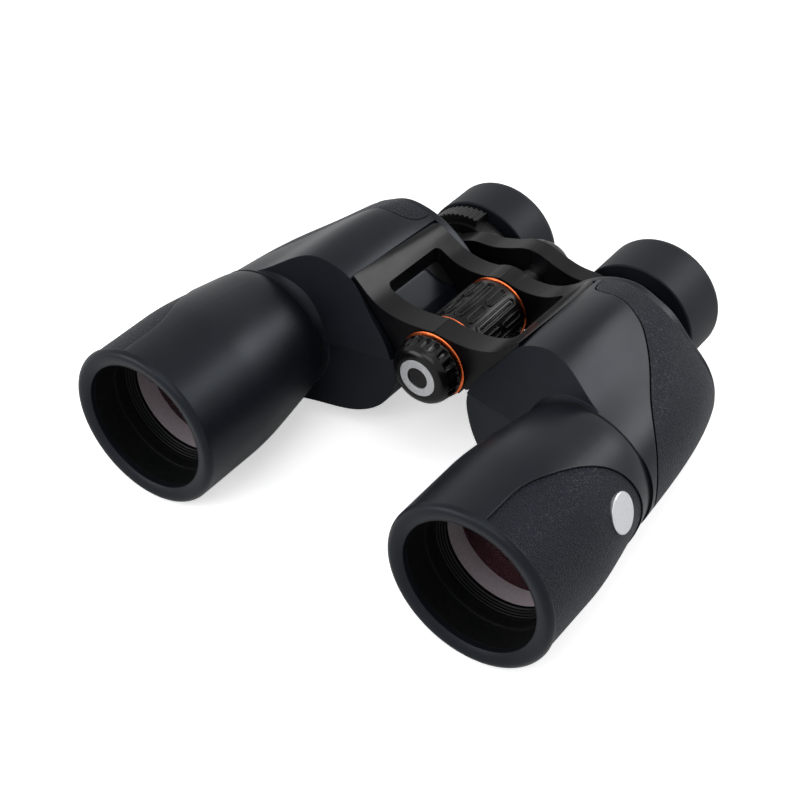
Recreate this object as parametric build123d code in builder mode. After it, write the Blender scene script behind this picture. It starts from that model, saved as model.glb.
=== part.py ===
"""Porro-prism astronomy binoculars, millimetres, +Z up.

The binoculars lie on a table as they are set down: on the two objective rims and the two eyecups, with the
halves fully spread. X runs across the pair (user's left is +X), Y runs from the objectives to the eyepieces.
The origin is on the table, under the middle of the pair.
A station is a distance behind the front rim. All optical axes and the central hinge are parallel to Y.
The left half is drawn, and the right half is its mirror image wherever the two are alike.
"""
from build123d import *
from math import copysign, cos, pi, radians, sin, sqrt, tan
import os

os.makedirs("parts", exist_ok=True)

# ---------------------------------------------------------------- driving dimensions
objective_spacing = 141.8        # between the objective axes, halves fully spread
eyepiece_spacing = 75.8          # between the eyepiece axes, halves fully spread
hinge_rise = 8.3                 # hinge axis above the objective axes

rim_radius = 32.45               # outside of the objective armour, which rests on the table
rim_bore = 26.0                  # opening of the objective rim
eyecup_radius = 25.3             # rests on the table too

fold_angle = 49.0                # how far one half turns on the other
focus_travel = 3.0               # each way
diopter_travel = 1.2             # each way

# walls and clearances
armour = 1.6                     # rubber skin on the prism housing
barrel_armour_wall = 2.2
barrel_wall = 0.8                # step from the barrel's end down to its thread
housing_wall = 2.0
groove = 0.4                     # seam between two pieces of armour
running_fit = 0.08               # radial, a shaft or sleeve that turns or slides
clear = 0.3                      # between bodies that pass each other

# objective end
barrel_length = 72.3             # front rim to the seam with the housing
rim_round = 2.4
barrel_straight_length = 30.0
neck_radius = 26.6               # where the barrel meets the housing
baffle_depth = 13.4              # wide bore behind the rim
baffle_step = 0.8
thread_wall = 2.8                # barrel's threaded end
barrel_thread_length = 6.5
lens_depth = 21.6                # front edge of the front lens, behind the rim
front_bulge = 2.5
middle_bulge = 1.6
grip_recess = 0.5                # grip panel below the smooth armour
grip_floor = 1.2                 # depth of the pocket it lies in
grip_end_gap = 8.3               # from the tip of the grip panel to the seam
grip_straight_length = 14.0      # of the panel behind the rim, before it narrows
badge_radius = 7.2
badge_thickness = 1.5
badge_sink = 1.25                # foot of the side badge below the barrel's skin
badge_angle = 21.5               # above the horizontal, on the outer side
badge_pitch = 7.0                # follows the taper of the barrel

# housing
front_wall = 9.5                 # seam to the prism room
cover_thickness = 3.7
front_step = 1.5                 # the face below the ledge stands this far behind the face above it
step_height = 4.6                # ledge above the objective axis
neck_fillet = 7.5
screw_radius = 1.3
screw_head_radius = 2.2
screw_head_height = 1.4
prism_width = 22.0               # clear aperture side of each prism
prism_ridge = 1.1                # ground off the roof edge
prism_end_gap = 1.82             # between a prism's roof edge and the wall
shelf_thickness = 2.4
prism_gap = 0.6

# hinge
arm_setback = 11.0               # front arm behind the seam
front_arm_length = 10.7
rear_arm_length = 9.6
front_knuckle_radius = 14.4
rear_knuckle_radius = 13.1
lap_radius = 9.0                 # the interleaved knuckle rings inside the arms
axle_radius = 6.0
bush_wall = 1.4
nose_radius = 8.0                # threaded nose in front of the arms
nose_length = 7.0
socket_radius = 3.175            # 1/4 inch tripod thread
socket_depth = 10.0
plate_inset = 1.4                # bridge plate's outer edge inside the eyepiece axis
plate_corner = 4.0
window_border = 7.5              # of the bridge plate, outside its window
window_corner = 2.5

# focus wheel and cap
wheel_radius = 13.9
wheel_rear_gap = 1.2
ring_thickness = 0.9
ring_width = 2.5
cap_length = 8.6
cap_radius = 13.4
cap_ring_overhang = 0.7
washer_thickness = 0.8
washer_gap = 0.2
badge_ring_radius = 7.65
badge_hole_radius = 4.4
badge_depth = 0.6
shaft_radius = 4.2
shaft_reach = 14.0               # front of the focus shaft behind the tripod socket

# eyepieces
bridge_gap = 8.7                 # moving eyepiece bridge behind the housing
bridge_thickness = 8.0
dome_length = 9.0
shaft_overhang = 5.8             # focus shaft behind the bridge
bridge_radius = 13.7
shaft_ring_radius = 7.0          # knuckle rings that hold the focus shaft
tube_overhang = 3.0              # eyepiece tube behind the bridge
tube_reach = 1.2                 # eyepiece tube inside the prism room
tube_radius = 15.0
tube_wall = 1.2
collar_radius = 18.8             # of the bridge, round the eyepiece tube
head_radius = 17.0
sleeve_wall = 1.6
diopter_length = 8.0
diopter_radius = 20.6
diopter_grip_height = 3.8
left_cup_gap = 6.6               # left eyecup behind its tube
cup_length = 21.9                # right eyecup
eye_lens_radius = 11.5

# ---------------------------------------------------------------- places worked out from them
# radii
barrel_bore = rim_bore - baffle_step
barrel_thread_radius = neck_radius - barrel_armour_wall - barrel_wall
thread_bore = barrel_thread_radius - thread_wall
lens_radius = barrel_bore - 1.7
ring_opening = lens_radius - 1.6
axle_bore = shaft_radius + 0.1
bush_radius = axle_radius + bush_wall
ring_radius = wheel_radius - 0.2
tube_bore = tube_radius - tube_wall

# axes, from the middle of the table
objective_x = objective_spacing / 2
eyepiece_x = eyepiece_spacing / 2
objective_z = rim_radius
eyepiece_z = eyecup_radius
hinge_z = objective_z + hinge_rise
offset_x = eyepiece_x - objective_x
offset_z = eyepiece_z - objective_z
middle_x = objective_x + (offset_x + offset_z) / 2      # axis of the light between the two prisms
middle_z = objective_z + (offset_z - offset_x) / 2
axis_step = sqrt((middle_x - objective_x) ** 2 + (middle_z - objective_z) ** 2)
plate_outer_edge = eyepiece_x - plate_inset             # from the hinge plane
window_outer_edge = plate_outer_edge - window_border

# stations: the prisms set how long the housing is, and everything behind the seam follows it
seam = barrel_length
prism_height = axis_step - prism_ridge
cavity_front = seam + front_wall
front_base = cavity_front + prism_end_gap + prism_height
rear_base = front_base + shelf_thickness + 2 * prism_gap
cavity_rear = rear_base + prism_height + prism_end_gap
cover_front = cavity_rear + housing_wall
armour_rear = cover_front - groove
housing_rear = cover_front + cover_thickness
arm_front = seam + arm_setback
arm_rear = cover_front
cap_ring_front = arm_front - clear - ring_thickness
washer_rear = cap_ring_front - washer_gap
washer_front = washer_rear - washer_thickness
cap_rear = washer_front - washer_gap
cap_front = cap_rear - cap_length
nose_front = arm_front - clear - nose_length
shaft_front = nose_front + socket_depth + shaft_reach
wheel_gap_front = arm_front + front_arm_length
wheel_gap_rear = arm_rear - rear_arm_length
wheel_front = wheel_gap_front + clear + ring_thickness
wheel_rear = wheel_gap_rear - wheel_rear_gap - ring_thickness
bridge_front = housing_rear + bridge_gap
bridge_rear = bridge_front + bridge_thickness
shaft_end = bridge_rear + shaft_overhang
tube_front = cavity_rear - tube_reach
tube_rear = bridge_rear + tube_overhang
diopter_front = tube_rear + clear
diopter_rear = diopter_front + diopter_length
right_cup_front = diopter_rear + diopter_travel + 2 * clear
left_cup_front = tube_rear + left_cup_gap
overall_length = right_cup_front + cup_length
rim_y = -overall_length / 2
along_y = (0, 1, 0)
shell_low = radians(fold_angle - 90)   # knuckle shells end here, to leave the fold its room


def station(s):
    """Cross-section plane at a station; its x and y are the model's X and Z."""
    return Plane.XZ.offset(-(rim_y + s))


def half_section(x, z):
    """Plane through an axis parallel to Y; its x is the station and its y the radius."""
    return Plane(origin=(x, rim_y, z), x_dir=(0, 1, 0), z_dir=(1, 0, 0))


def axis_at(x, z):
    return Axis((x, 0, z), along_y)


def turned(x, z, outline):
    """A turned piece about an axis parallel to Y, from (station, radius) corners."""
    with BuildPart() as piece:
        with BuildSketch(half_section(x, z)):
            with BuildLine():
                Polyline(*outline, close=True)
            make_face()
        revolve(axis=axis_at(x, z))
    return piece


def keep(piece, name):
    """Label a finished piece and write its file."""
    piece.part.label = name
    export_step(piece.part, f"parts/{name}.step")


def keep_pair(piece, name):
    """Write a left-hand piece, and its mirror image for the right half."""
    keep(piece, "left_" + name)
    with BuildPart() as twin:
        mirror(piece.part, about=Plane.YZ)
    keep(twin, "right_" + name)


# ---------------------------------------------------------------- objective barrel
def barrel_curve(inset):
    """Taper of the barrel from its straight front to the seam, as (station, radius), inset by a wall."""
    drop = rim_radius - neck_radius
    reach = seam - barrel_straight_length
    shares = ((0, 0), (0.46, 0.30), (0.74, 0.61), (1, 1))
    return [(barrel_straight_length + reach * u, rim_radius - inset - drop * v) for u, v in shares]


def taper(inset):
    """The barrel's taper as an edge, inset by a wall."""
    with BuildLine() as edge:
        Spline(*barrel_curve(inset), tangents=((1, 0), (1, -0.35)))
    return edge.line


rim_seat = rim_round + 1.2
lens_edge = lens_depth
cell_front = lens_edge - 0.4
lens_middle = lens_edge + 4.0
lens_back = lens_middle + 5.5
cell_rear = lens_back + 4.0
with BuildPart() as barrel:
    with BuildSketch(half_section(objective_x, objective_z)):
        with BuildLine():
            skin_start = barrel_curve(barrel_armour_wall)[0]
            skin_end = barrel_curve(barrel_armour_wall)[-1]
            thread_end = seam + barrel_thread_length
            Polyline((rim_seat, rim_bore), (rim_seat, skin_start[1]), skin_start)
            add(taper(barrel_armour_wall))
            Polyline(skin_end, (seam, barrel_thread_radius), (thread_end, barrel_thread_radius),
                     (thread_end, thread_bore), (cell_rear + 10, barrel_bore), (baffle_depth, barrel_bore),
                     (baffle_depth, rim_bore), (rim_seat, rim_bore))
        make_face()
    revolve(axis=axis_at(objective_x, objective_z))
keep_pair(barrel, "barrel")

# rubber sleeve round the barrel, rolled over the front rim down to the bore
lip_start = (1.3, rim_bore)
crest = (0, rim_radius - rim_round)
with BuildPart() as sleeve:
    with BuildSketch(half_section(objective_x, objective_z)):
        with BuildLine():
            shoulder = (rim_round, rim_radius)
            ThreePointArc(lip_start, (0.3 * lip_start[0], rim_bore + 0.44 * (crest[1] - rim_bore)), crest)
            ThreePointArc(crest, (0.3 * rim_round, rim_radius - 0.3 * rim_round), shoulder)
            Line(shoulder, barrel_curve(0)[0])
            add(taper(0))
            Line(barrel_curve(0)[-1], skin_end)
            add(taper(barrel_armour_wall))
            Polyline(skin_start, (rim_seat, skin_start[1]), (rim_seat, rim_bore), lip_start)
        make_face()
    revolve(axis=axis_at(objective_x, objective_z))


def grip_outline(grow):
    """Side view of the barrel's grip panel: straight from the rim, closing in a blunt point before the seam."""
    length = seam - grip_end_gap + grow
    height = rim_radius - 0.95 + grow
    run = length - grip_straight_length
    upper = [(grip_straight_length + along * run, height * up)
             for along, up in ((0, 1), (0.5, 0.925), (0.7, 0.81), (0.86, 0.63), (0.965, 0.33), (1, 0))]
    lower = [(s, -z) for s, z in upper[-2::-1]]
    with BuildLine() as edge:
        Spline(*upper, *lower, tangents=((1, 0), (-1, 0)))
        Polyline((grip_straight_length, -height), (rim_round + 0.6 - grow, -height),
                 (rim_round + 0.6 - grow, height), (grip_straight_length, height))
    return edge


def side_prism(outline):
    """A side-view outline carried outwards from the objective axis, to cut panels from a barrel."""
    side = Plane(origin=(objective_x, rim_y, objective_z), x_dir=(0, 1, 0), z_dir=(1, 0, 0))
    with BuildPart() as block:
        with BuildSketch(side):
            add(outline.line)
            make_face()
        extrude(amount=rim_radius + 5)
    return block


panel_shape = side_prism(grip_outline(0))
panel_pocket = side_prism(grip_outline(groove))

# the outer layer of the sleeve, as deep as the grip panel's pocket
with BuildPart() as panel_layer:
    add(sleeve.part)
    with BuildSketch(half_section(objective_x, objective_z)):
        with BuildLine():
            floor_start = barrel_curve(grip_floor)[0]
            Polyline((-5, 0), (-5, floor_start[1]), floor_start)
            add(taper(grip_floor))
            Polyline(barrel_curve(grip_floor)[-1], (seam, 0), (-5, 0))
        make_face()
    revolve(axis=axis_at(objective_x, objective_z), mode=Mode.SUBTRACT)
with BuildPart() as panel_recess:
    add(panel_layer.part)
    add(panel_pocket.part, mode=Mode.INTERSECT)
with BuildPart() as barrel_armour:
    add(sleeve.part)
    add(panel_recess.part, mode=Mode.SUBTRACT)

with BuildPart() as grip_skin:
    with BuildSketch(half_section(objective_x, objective_z)):
        with BuildLine():
            top_start = barrel_curve(grip_recess)[0]
            Line((rim_round, top_start[1]), top_start)
            add(taper(grip_recess))
            Line(barrel_curve(grip_recess)[-1], barrel_curve(grip_floor)[-1])
            add(taper(grip_floor))
            Polyline(floor_start, (rim_round, floor_start[1]), (rim_round, top_start[1]))
        make_face()
    revolve(axis=axis_at(objective_x, objective_z))
    add(panel_shape.part, mode=Mode.INTERSECT)

# round side badge on the left barrel only, let into the grip panel
badge_tilt = radians(badge_angle)
badge_lean = radians(badge_pitch)
badge_station, badge_skin = barrel_curve(0)[1]
badge_foot = badge_skin - badge_sink
badge_out = Plane(origin=(objective_x + badge_foot * cos(badge_tilt), rim_y + badge_station,
                          objective_z + badge_foot * sin(badge_tilt)),
                  x_dir=(-sin(badge_tilt), 0, cos(badge_tilt)),
                  z_dir=(cos(badge_tilt) * cos(badge_lean), sin(badge_lean), sin(badge_tilt) * cos(badge_lean)))
with BuildPart() as side_badge:
    with BuildSketch(badge_out):
        Circle(badge_radius)
    extrude(amount=badge_thickness)
    chamfer(side_badge.edges().group_by(Axis((0, 0, 0), badge_out.z_dir))[-1], 0.3)

with BuildPart() as left_grip:
    add(grip_skin.part)
    with BuildSketch(badge_out.offset(-2 * badge_thickness)):
        Circle(badge_radius)
    extrude(amount=10, mode=Mode.SUBTRACT)
with BuildPart() as left_sleeve:
    add(barrel_armour.part)
    with BuildSketch(badge_out):
        Circle(badge_radius)
    extrude(amount=10, mode=Mode.SUBTRACT)
keep(left_grip, "left_barrel_grip")
keep(side_badge, "left_side_badge")
keep(left_sleeve, "left_barrel_armour")
for piece, name in ((grip_skin, "right_barrel_grip"), (barrel_armour, "right_barrel_armour")):
    with BuildPart() as twin:
        mirror(piece.part, about=Plane.YZ)
    keep(twin, name)

# ---------------------------------------------------------------- objective lenses
keep_pair(turned(objective_x, objective_z, [
    (cell_front, barrel_bore), (cell_front, lens_radius), (lens_back, lens_radius),
    (lens_back, ring_opening), (cell_rear, ring_opening), (cell_rear, barrel_bore)]), "objective_cell")

ring_front = lens_edge - 4.6
keep_pair(turned(objective_x, objective_z, [
    (ring_front, barrel_bore), (ring_front, barrel_bore - 0.9), (cell_front - 0.9, ring_opening + 0.3),
    (cell_front - 0.2, ring_opening), (cell_front, ring_opening), (cell_front, barrel_bore)]),
    "objective_retaining_ring")


def bulge(edge, sag, radius):
    """Station half way up a lens face whose middle lies sag behind its edge."""
    sphere = (radius ** 2 + sag ** 2) / (2 * sag)
    return edge + sag - sphere + copysign(sqrt(sphere ** 2 - (radius / 2) ** 2), sphere)


def lens(x, z, radius, front, front_sag, rear, rear_sag):
    """A round lens between two edge stations; a positive sag bulges out of the glass."""
    with BuildPart() as glass:
        with BuildSketch(half_section(x, z)):
            with BuildLine():
                ThreePointArc((front - front_sag, 0), (bulge(front, -front_sag, radius), radius / 2),
                              (front, radius))
                Line((front, radius), (rear, radius))
                ThreePointArc((rear, radius), (bulge(rear, rear_sag, radius), radius / 2),
                              (rear + rear_sag, 0))
                Line((rear + rear_sag, 0), (front - front_sag, 0))
            make_face()
        revolve(axis=axis_at(x, z))
    return glass


keep_pair(lens(objective_x, objective_z, lens_radius, lens_edge, front_bulge, lens_middle, middle_bulge),
          "objective_crown_lens")
keep_pair(lens(objective_x, objective_z, lens_radius, lens_middle, -middle_bulge, lens_back, -0.6),
          "objective_flint_lens")

# ---------------------------------------------------------------- prism housing
# Each section of the housing is a closed smooth outline. Its inner points are given from the eyepiece axis,
# across, and its outer points from the objective axis; heights are from the objective axis.
# Order: up the inner slope, over the prism hump, round the outer side, back along the bottom.
housing_sections = (
    (seam - 4.3,
     ((-20.9, 4.5), (-16.4, 12), (-9.9, 20.5), (-0.9, 31), (8.6, 36.6), (16.1, 37.6)),
     ((-8.9, 34.4), (1, 28), (14.6, 21.8), (25.6, 11.5), (27.9, -2), (23.2, -15.6), (12, -25.2)),
     ((30.1, -27.6), (12.1, -26.5), (-4.9, -25.2), (-15.9, -18.5), (-21.1, -7.5))),
    (seam + 25.7,
     ((-21.2, 3.4), (-16.5, 11.4), (-9.4, 20.8), (-1.2, 31.6), (8.1, 36.4), (16.1, 37.2)),
     ((-9.2, 33.8), (0.4, 27.4), (12.8, 20.4), (23.2, 10.6), (25.9, -2), (21.6, -15.2), (11.2, -24.8)),
     ((29.6, -27.5), (12.1, -26.8), (-4.9, -25.4), (-15.9, -18.7), (-21.1, -8))),
    (housing_rear - 18.3,
     ((-21.4, 3.4), (-16.5, 12), (-9.2, 21.8), (-0.9, 30.6), (8.1, 35), (16.1, 35.6)),
     ((-9.6, 32), (-0.2, 25.8), (10.4, 18), (20, 8), (22.3, -3), (18.8, -15.2), (9.8, -24.6)),
     ((29.2, -27.4), (12.1, -27), (-4.9, -25.6), (-16.1, -18.9), (-21.3, -8.4))),
    (housing_rear,
     ((-21.5, 4), (-18, 15), (-10.6, 23.1), (-1, 29.4), (6.6, 31.8), (14.9, 32)),
     ((-10.4, 29), (-4.5, 25.8), (3.5, 17.4), (12.5, 7.5), (16.5, -4), (14.5, -15.4), (7, -24)),
     ((28.6, -27), (12.1, -27), (-4.9, -25.6), (-16, -18.7), (-21.3, -8.4))),
)


def section_points(section, inset):
    """Outline of one housing section, moved inwards by a wall thickness."""
    _, slope, outside, bottom = section
    points = [(eyepiece_x + x, objective_z + z) for x, z in slope]
    points += [(objective_x + x, objective_z + z) for x, z in outside]
    points += [(eyepiece_x + x, objective_z + z) for x, z in bottom]
    moved = []
    for i, (x, z) in enumerate(points):
        before = points[i - 1]
        after = points[(i + 1) % len(points)]
        run = Vector(after[0] - before[0], after[1] - before[1]).normalized()
        moved.append((x + run.Y * inset, z - run.X * inset))
    return moved


def housing_block(inset):
    """Solid of the housing's outer shape, with every wall moved in by inset."""
    with BuildPart() as block:
        for section in housing_sections:
            with BuildSketch(station(section[0])):
                with BuildLine():
                    Spline(*section_points(section, inset), periodic=True)
                make_face()
        loft()
    return block


# the front of the prism hump leans back and turns towards the barrel; below a ledge it stands upright, a little
# further back; round the barrel it flares into a neck
front_lean = Vector(-0.184, -0.953, 0.239).normalized()
front_upright = Vector(-0.19, -0.98, 0).normalized()
front_point = Vector(eyepiece_x + 4.4, rim_y + seam + 2.1, objective_z + step_height)
ledge_point = Vector(front_point.X, front_point.Y + front_step, front_point.Z)
neck_start = seam + clear
neck_behind = 40.0               # the neck runs on inside the housing


def behind_plane(origin, facing):
    """Half-space behind a plane that faces forwards."""
    with BuildPart() as space:
        with BuildSketch(Plane(origin=origin, x_dir=(0, 0, 1), z_dir=-facing)):
            Rectangle(300, 300)
        extrude(amount=200)
    return space


def behind(front):
    """Everything behind a station."""
    return behind_plane(Vector(0, rim_y + front, 0), Vector(0, -1, 0))


def behind_front(inset):
    """Everything behind the front face with its ledge, moved back by inset, and the neck round the barrel."""
    neck = neck_radius - inset
    ledge_z = ledge_point.Z + inset
    with BuildPart() as lower:
        add(behind_plane(ledge_point - front_upright * inset, front_upright).part)
        with BuildSketch(Plane.XY.offset(ledge_z)):
            Rectangle(600, 600)
        extrude(amount=300, mode=Mode.SUBTRACT)
    with BuildPart() as space:
        add(behind_plane(front_point - front_lean * inset, front_lean).part)
        with BuildSketch(Plane.XY.offset(ledge_z)):
            Rectangle(600, 600)
        extrude(amount=-300, mode=Mode.SUBTRACT)
        add(lower.part)
        add(behind(neck_start + inset).part, mode=Mode.INTERSECT)
        with BuildSketch(half_section(objective_x, objective_z)):
            with BuildLine():
                flare = (neck_start + neck_fillet, neck + neck_fillet)
                ThreePointArc((neck_start, neck), (neck_start + neck_fillet * sin(pi / 4),
                              neck + neck_fillet * (1 - cos(pi / 4))), flare)
                Polyline(flare, (neck_start + neck_behind, flare[1]), (neck_start + neck_behind, 0),
                         (neck_start, 0), (neck_start, neck))
            make_face()
        revolve(axis=axis_at(objective_x, objective_z))
    return space


with BuildPart() as skin:
    add(housing_block(0).part)
    add(behind_front(0).part, mode=Mode.INTERSECT)
    add(behind(armour_rear).part, mode=Mode.SUBTRACT)

with BuildPart() as core:
    add(housing_block(armour).part)
    add(behind_front(armour).part, mode=Mode.INTERSECT)
    add(behind(cover_front).part, mode=Mode.SUBTRACT)

with BuildPart() as cavity:
    add(housing_block(armour + housing_wall).part)
    add(behind(cavity_front).part, mode=Mode.INTERSECT)
    add(behind(cavity_rear).part, mode=Mode.SUBTRACT)


# ---------------------------------------------------------------- bridge plate with its hinge arms
def saddle_section(s, knuckle, drop, grow=0):
    """Section of the bridge from the hinge to the plate's outer edge: smooth top, flat faces below.

    The pocket that it lies in is the same section grown sideways, and open above.
    """
    edge = plate_outer_edge + grow
    top = ((clear / 2, hinge_rise + knuckle), (8, 21.8 - 2.4 * drop), (16, 21.9 - 2.5 * drop),
           (plate_outer_edge - 14.5, 23.1 - 2.0 * drop), (plate_outer_edge - 9, 25.6 - 1.4 * drop),
           (plate_outer_edge - 5, 28.8 - 2.2 * drop), (plate_outer_edge - 2, 31.8 - 3.2 * drop),
           (edge, 33.5 - 4.6 * drop))
    below = ((edge, 30.2 - 4.2 * drop), (window_outer_edge - 0.5, 19.8 - 1.6 * drop),
             (window_outer_edge - 7.5, 10.8 - drop), (window_outer_edge - 11.2, 4.6 - drop), (14.5, 2.2),
             (clear / 2, 2.2))
    lift = [(x, objective_z + z + 10 * grow) for x, z in top]
    under = [(x, objective_z + z) for x, z in below]
    with BuildSketch(station(s)) as section:
        with BuildLine():
            Spline(*lift)
            Polyline(lift[-1], *under, lift[0])
        make_face()
    return section


def plan_block(half_width, front, rear, corner):
    """Full-height block with rounded corners in plan view, centred on the hinge."""
    with BuildPart() as block:
        with BuildSketch(Plane.XY.offset(-20)):
            with Locations((0, rim_y + (front + rear) / 2)):
                RectangleRounded(half_width * 2, rear - front, corner)
        extrude(amount=150)
    return block


def saddle_block(grow):
    ends = (saddle_section(arm_front - grow, front_knuckle_radius, 0, grow),
            saddle_section(arm_rear + grow, rear_knuckle_radius, 1, grow))
    with BuildPart() as block:
        loft(sections=[end.sketch for end in ends])
        add(plan_block(plate_outer_edge + grow, arm_front - grow, arm_rear + grow, plate_corner).part,
            mode=Mode.INTERSECT)
    return block


saddle = saddle_block(0)
saddle_pocket = saddle_block(groove)


def knuckle_wedge(front, rear, reach):
    """Full wedge on the +X side of the hinge, from straight up round to the end of a knuckle shell."""
    with BuildPart() as wedge:
        with BuildSketch(station(front)):
            with BuildLine():
                Polyline((clear / 2, hinge_z), (clear / 2, hinge_z + reach), (reach, hinge_z + reach),
                         (reach, hinge_z + reach * tan(shell_low)), close=True)
            make_face()
        extrude(amount=-(rear - front))
    return wedge


def knuckle_shell(outline):
    """A knuckle turned about the hinge from (station, radius) corners, kept on the +X side."""
    with BuildPart() as shell:
        add(turned(0, hinge_z, outline).part)
        add(knuckle_wedge(outline[0][0], outline[-1][0], 2 * outline[1][1]).part, mode=Mode.INTERSECT)
    return shell


# round ends of the two hinge arms, open inside for the knuckle rings
with BuildPart() as arm_ends:
    for radius, front, rear in ((front_knuckle_radius, arm_front, wheel_gap_front),
                                (rear_knuckle_radius, wheel_gap_rear, arm_rear)):
        add(knuckle_shell([(front, 0), (front, radius), (rear, radius), (rear, 0)]).part)
    with BuildSketch(station(arm_front - 1)):
        with Locations((0, hinge_z)):
            Circle(lap_radius + clear)
    extrude(amount=-(arm_rear - arm_front + 2), mode=Mode.SUBTRACT)


with BuildPart() as arms:
    add(saddle.part)
    add(plan_block(window_outer_edge, wheel_gap_front, wheel_gap_rear, window_corner).part, mode=Mode.SUBTRACT)
    with BuildSketch(station(arm_front - 1)):
        with Locations((0, hinge_z)):
            Circle(lap_radius + clear)
    extrude(amount=-(arm_rear - arm_front + 2), mode=Mode.SUBTRACT)
    add(arm_ends.part)

front_lap = arm_front + front_arm_length / 2
rear_lap = wheel_gap_rear + rear_arm_length / 2


def with_laps(shell, laps, ring, bore):
    """Shell with its knuckle rings on the hinge axis, each joined to the shell on its own side."""
    reach = ring + 2
    shell_end = (reach * cos(shell_low), hinge_z + reach * sin(shell_low))
    middle = (reach * cos(0.4), hinge_z + reach * sin(0.4))
    with BuildPart() as bridge:
        add(shell.part)
        for front, rear in laps:
            with BuildSketch(station(front)):
                with Locations((0, hinge_z)):
                    Circle(ring)
            extrude(amount=-(rear - front))
            with BuildSketch(station(front)):
                with BuildLine():
                    Polyline((clear / 2, hinge_z), (clear / 2, hinge_z + reach))
                    ThreePointArc((clear / 2, hinge_z + reach), middle, shell_end)
                    Line(shell_end, (clear / 2, hinge_z))
                make_face()
            extrude(amount=-(rear - front))
            with BuildSketch(station(front)):
                with Locations((0, hinge_z)):
                    Circle(bore)
            extrude(amount=-(rear - front), mode=Mode.SUBTRACT)
    return bridge


lap_gap = clear / 2
left_bridge = with_laps(arms, ((front_lap + lap_gap, wheel_gap_front), (rear_lap + lap_gap, arm_rear)),
                        lap_radius, bush_radius)
keep(left_bridge, "left_bridge_plate")
right_master = with_laps(arms, ((arm_front, front_lap - lap_gap), (wheel_gap_rear, rear_lap - lap_gap)),
                         lap_radius, axle_radius)
with BuildPart() as right_bridge:
    mirror(right_master.part, about=Plane.YZ)
keep(right_bridge, "right_bridge_plate")

# ---------------------------------------------------------------- housing pieces
screw_places = ((eyepiece_x - 12, objective_z + 11.7), (eyepiece_x + 14, objective_z + 23),
                (objective_x + 8, objective_z - 4), (objective_x - 3, objective_z - 19.5),
                (eyepiece_x + 15, objective_z - 22.5))
tube_hole = tube_radius + running_fit
with BuildPart() as housing:
    add(core.part)
    add(cavity.part, mode=Mode.SUBTRACT)
    add(saddle.part, mode=Mode.SUBTRACT)
    add(arms.part, mode=Mode.SUBTRACT)
    with BuildSketch(station(seam - 5)):
        with Locations((objective_x, objective_z)):
            Circle(barrel_thread_radius)
    extrude(amount=-(5 + barrel_thread_length), mode=Mode.SUBTRACT)
    with BuildSketch(station(seam - 5)):
        with Locations((objective_x, objective_z)):
            Circle(thread_bore)
    extrude(amount=-(cavity_front - seam + 5), mode=Mode.SUBTRACT)
    with BuildSketch(station(cavity_rear)):
        with Locations((eyepiece_x, eyepiece_z)):
            Circle(tube_hole + clear)
        with Locations(*screw_places):
            Circle(screw_radius)
    extrude(amount=-2 * housing_wall, mode=Mode.SUBTRACT)
keep_pair(housing, "housing")

with BuildPart() as whole_armour:
    add(skin.part)
    add(core.part, mode=Mode.SUBTRACT)
    add(saddle_pocket.part, mode=Mode.SUBTRACT)
    add(arms.part, mode=Mode.SUBTRACT)
    with BuildSketch(station(seam - 5)):
        with Locations((objective_x, objective_z)):
            Circle(neck_radius - armour)
    extrude(amount=-12, mode=Mode.SUBTRACT)


# seen from above, the seam between smooth armour and grip panel hooks round the corner of the bridge plate,
# crosses the hump and then runs to the front outer corner
def grip_region(shift):
    """Plan-view region behind the armour seam, moved outwards by shift, full height."""
    curve = ((eyepiece_x + 1.2, 1.3), (eyepiece_x + 1.5, 8.3), (eyepiece_x + 3, 12.9), (eyepiece_x + 7, 15.7),
             (eyepiece_x + 12, 16.5), (eyepiece_x + 18, 16.9), (objective_x - 10.3, 18),
             (objective_x - 6.6, 19.8), (objective_x - 3.4, 22.7), (objective_x + 3.4, 31.1),
             (objective_x + 12.6, 45.8), (objective_x + 25.3, 62.2), (objective_x + 33, 74.3))
    points = [(x + shift, rim_y + housing_rear - ahead + shift) for x, ahead in curve]
    with BuildPart() as region:
        with BuildSketch(Plane.XY.offset(-20)):
            with BuildLine():
                Spline(*points)
                Polyline(points[-1], (points[-1][0] + 60, points[-1][1]), (points[-1][0] + 60, points[0][1] + 60),
                         (points[0][0], points[0][1] + 60), points[0])
            make_face()
        extrude(amount=150)
    return region


with BuildPart() as housing_armour:
    add(whole_armour.part)
    add(grip_region(0).part, mode=Mode.SUBTRACT)
keep_pair(housing_armour, "housing_armour")

with BuildPart() as housing_grip:
    add(whole_armour.part)
    add(grip_region(groove).part, mode=Mode.INTERSECT)
keep_pair(housing_grip, "housing_grip")

# rear cover: a rim plate behind the armour, with the hole that the eyepiece tube slides in
with BuildPart() as rear_cover:
    with BuildSketch(station(cover_front)):
        with BuildLine():
            Spline(*section_points(housing_sections[-1], 0), periodic=True)
        make_face()
    extrude(amount=-(housing_rear - cover_front))
    fillet(rear_cover.edges().group_by(Axis.Y)[-1], 0.9)
    with BuildSketch(station(cover_front)):
        with Locations((eyepiece_x, eyepiece_z)):
            Circle(tube_hole)
        with Locations(*screw_places):
            Circle(screw_radius)
    extrude(amount=-10, mode=Mode.SUBTRACT)
    with BuildSketch(station(housing_rear - screw_head_height)):
        with Locations(*screw_places):
            Circle(screw_head_radius)
    extrude(amount=-10, mode=Mode.SUBTRACT)
keep_pair(rear_cover, "rear_cover")

with BuildPart() as cover_screws:
    with BuildSketch(station(cavity_rear + 0.3)):
        with Locations(*screw_places):
            Circle(screw_radius)
    extrude(amount=-(housing_rear - screw_head_height - cavity_rear - 0.3))
    with BuildSketch(station(housing_rear - screw_head_height)):
        with Locations(*screw_places):
            Circle(screw_head_radius)
    extrude(amount=-(screw_head_height - 0.2))
keep_pair(cover_screws, "cover_screws")

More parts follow.
